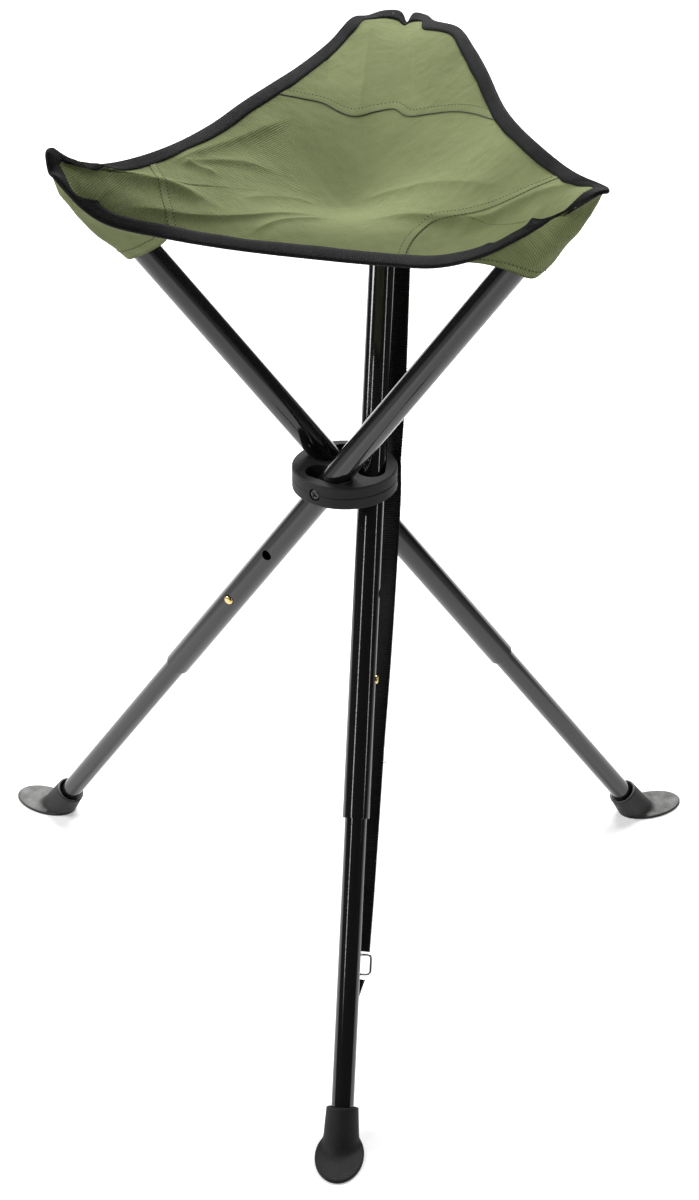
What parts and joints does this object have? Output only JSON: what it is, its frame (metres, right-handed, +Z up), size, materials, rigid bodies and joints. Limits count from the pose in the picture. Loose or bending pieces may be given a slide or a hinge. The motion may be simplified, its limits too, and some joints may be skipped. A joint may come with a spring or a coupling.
{
  "type": "three leg stool",
  "caption": "Folding camp stool: crossed telescoping tube legs pivot in a slotted hub and spread a sagging triangular fabric seat over oval rubber feet.",
  "frame": {"origin": "on the floor, at the centre of the bounding box of the opened stool", "axes": "+Z up, -Y towards the front foot, +X to the right of someone facing the front foot from outside"},
  "size_m": [0.6234, 0.5846, 0.7575],
  "materials": {
    "tube_coating": "gloss black powder coat",
    "hub_plastic": "fine moulded texture",
    "bush_plastic": "moulded",
    "foot_rubber": "moulded, slightly scuffed",
    "button_brass": "polished",
    "spring_steel": "rolled strip",
    "screw_steel": "dark zinc plate",
    "seat_fabric": "olive green polyester twill",
    "binding_tape": "black ribbed tape",
    "strap_webbing": "black ribbed webbing",
    "ring_steel": "polished wire"
  },
  "bodies": {
    "root": {"hub": "hub_plastic", "seat_panel": "seat_fabric", "edge_binding": "binding_tape", "pivot_screw_front": "screw_steel", "pivot_nut_front": "screw_steel", "pivot_screw_right": "screw_steel", "pivot_nut_right": "screw_steel", "pivot_screw_left": "screw_steel", "pivot_nut_left": "screw_steel"},
    "front_upper": {"upper_tube_front": "tube_coating", "top_cap_front": "bush_plastic", "seat_pocket_front": "seat_fabric", "carry_strap": "strap_webbing"},
    "front_lower": {"lower_tube_front": "tube_coating", "guide_bush_front": "bush_plastic", "button_spring_front": "spring_steel", "foot_front": "foot_rubber", "strap_ring": "ring_steel", "strap_tab": "strap_webbing", "strap_rivet": "ring_steel"},
    "front_button": {"snap_button_front": "button_brass"},
    "right_upper": {"upper_tube_right": "tube_coating", "top_cap_right": "bush_plastic", "seat_pocket_right": "seat_fabric"},
    "right_lower": {"lower_tube_right": "tube_coating", "guide_bush_right": "bush_plastic", "button_spring_right": "spring_steel", "foot_right": "foot_rubber"},
    "right_button": {"snap_button_right": "button_brass"},
    "left_upper": {"upper_tube_left": "tube_coating", "top_cap_left": "bush_plastic", "seat_pocket_left": "seat_fabric"},
    "left_lower": {"lower_tube_left": "tube_coating", "guide_bush_left": "bush_plastic", "button_spring_left": "spring_steel", "foot_left": "foot_rubber"},
    "left_button": {"snap_button_left": "button_brass"}
  },
  "joints": [
    {"name": "front_fold", "type": "hinge", "parent": "root", "child": "front_upper", "pos_m": [0.03345, 0.06576, 0.437], "axis": [1, 0, 0], "range_deg": [0, 35.7], "deforming": ["seat_panel", "edge_binding", "carry_strap"]},
    {"name": "front_telescope", "type": "slide", "parent": "front_upper", "child": "front_lower", "axis": [0, 0.5835, 0.8121], "range_m": [0, 0.0692], "deforming": ["snap_button_front", "carry_strap"]},
    {"name": "front_button_press", "type": "slide", "parent": "front_lower", "child": "front_button", "axis": [-1, 0, 0], "range_m": [0, 0.0034], "stiffness_N_per_m": 800, "springref_m": -0.002, "deforming": ["button_spring_front"]},
    {"name": "right_fold", "type": "hinge", "parent": "root", "child": "right_upper", "pos_m": [0, 0.08507, 0.437], "axis": [-0.5, 0.866, 0], "range_deg": [0, 35.7], "deforming": ["seat_panel", "edge_binding"]},
    {"name": "right_telescope", "type": "slide", "parent": "right_upper", "child": "right_lower", "axis": [-0.5054, -0.2918, 0.8121], "range_m": [0, 0.0692], "deforming": ["snap_button_right"]},
    {"name": "right_button_press", "type": "slide", "parent": "right_lower", "child": "right_button", "axis": [0.5, -0.866, 0], "range_m": [0, 0.0034], "stiffness_N_per_m": 800, "springref_m": -0.002, "deforming": ["button_spring_right"]},
    {"name": "left_fold", "type": "hinge", "parent": "root", "child": "left_upper", "pos_m": [0, 0.04645, 0.437], "axis": [-0.5, -0.866, 0], "range_deg": [0, 35.7], "deforming": ["seat_panel", "edge_binding"]},
    {"name": "left_telescope", "type": "slide", "parent": "left_upper", "child": "left_lower", "axis": [0.5054, -0.2918, 0.8121], "range_m": [0, 0.0692], "deforming": ["snap_button_left"]},
    {"name": "left_button_press", "type": "slide", "parent": "left_lower", "child": "left_button", "axis": [0.5, 0.866, 0], "range_m": [0, 0.0034], "stiffness_N_per_m": 800, "springref_m": -0.002, "deforming": ["button_spring_left"]}
  ],
  "couplings": [
    {"joint": "right_fold", "follows": "front_fold", "ratio": 1},
    {"joint": "left_fold", "follows": "front_fold", "ratio": 1}
  ]
}
